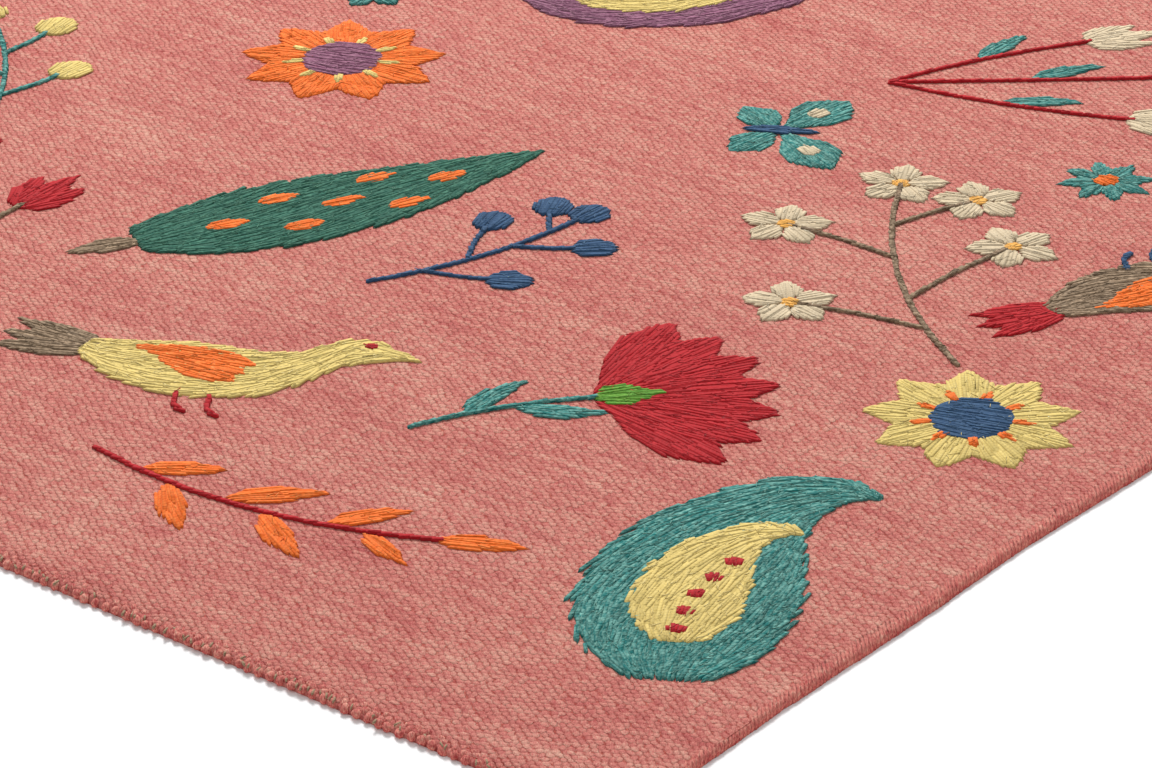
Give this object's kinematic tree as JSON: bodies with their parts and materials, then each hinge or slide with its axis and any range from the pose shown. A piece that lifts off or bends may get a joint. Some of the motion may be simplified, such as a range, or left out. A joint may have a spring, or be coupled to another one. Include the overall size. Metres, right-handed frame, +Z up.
{
  "type": "suzani kilim rug",
  "caption": "Flat-woven coral wool rug with wrapped selvedges, twisted cords across its ends and wool embroidery of flowers, leaves, paisleys and birds.",
  "frame": {"origin": "on the floor, under the middle of the rug", "axes": "+X across the rug with the weft, +Y along the rug with the warp, +Z up from the floor"},
  "size_m": [1.2, 1.8002, 0.0056],
  "materials": {
    "ground_wool": "matt weft-faced plain weave, heathered coral wool",
    "edge_wool": "matt twisted and wrapped coral wool",
    "wool_yellow": "soft two-ply wool, pale yellow",
    "wool_teal": "soft two-ply wool, teal",
    "wool_orange": "soft two-ply wool, orange",
    "wool_bark": "soft two-ply wool, heathered grey-brown",
    "wool_red": "soft two-ply wool, crimson",
    "wool_navy": "soft two-ply wool, denim blue",
    "wool_cream": "soft two-ply wool, cream",
    "wool_green": "soft two-ply wool, leaf green",
    "wool_purple": "soft two-ply wool, plum",
    "wool_pine": "soft two-ply wool, dark blue-green",
    "wool_amber": "soft two-ply wool, amber"
  },
  "bodies": {
    "root": {"kilim_ground": "ground_wool", "selvedge_right": "edge_wool", "selvedge_left": "edge_wool", "end_cord_front": "edge_wool", "end_cord_back": "edge_wool", "paisley_01_front": "wool_teal", "sprig_02_front": "wool_orange", "dove_03_front": "wool_yellow", "pomegranate_04_front": "wool_orange", "carnation_05_front": "wool_red", "rosette_06_front": "wool_yellow", "branch_07_front": "wool_cream", "cypress_08_front": "wool_pine", "berries_09_front": "wool_navy", "tulips_10_front": "wool_red", "dove_11_front": "wool_bark", "butterfly_12_front": "wool_teal", "sprig_13_front": "wool_amber", "rosette_14_front": "wool_orange", "star_15_front": "wool_teal", "tulips_16_front": "wool_cream", "paisley_17_front": "wool_purple", "star_18_front": "wool_yellow", "berries_19_front": "wool_yellow", "branch_20_front": "wool_teal", "pomegranate_21_front": "wool_red", "dove_22_front": "wool_orange", "sprig_23_front": "wool_green", "rosette_24_front": "wool_cream", "cypress_25_front": "wool_teal", "carnation_26_front": "wool_orange", "star_27_front": "wool_navy", "paisley_01_back": "wool_teal", "sprig_02_back": "wool_orange", "dove_03_back": "wool_yellow", "pomegranate_04_back": "wool_orange", "carnation_05_back": "wool_red", "rosette_06_back": "wool_yellow", "branch_07_back": "wool_cream", "cypress_08_back": "wool_pine", "berries_09_back": "wool_navy", "tulips_10_back": "wool_red", "dove_11_back": "wool_bark", "butterfly_12_back": "wool_teal", "sprig_13_back": "wool_amber", "rosette_14_back": "wool_orange", "star_15_back": "wool_teal", "tulips_16_back": "wool_cream", "paisley_17_back": "wool_purple", "star_18_back": "wool_yellow", "berries_19_back": "wool_yellow", "branch_20_back": "wool_teal", "pomegranate_21_back": "wool_red", "dove_22_back": "wool_orange", "sprig_23_back": "wool_green", "rosette_24_back": "wool_cream", "cypress_25_back": "wool_teal", "carnation_26_back": "wool_orange", "star_27_back": "wool_navy"}
  },
  "joints": []
}
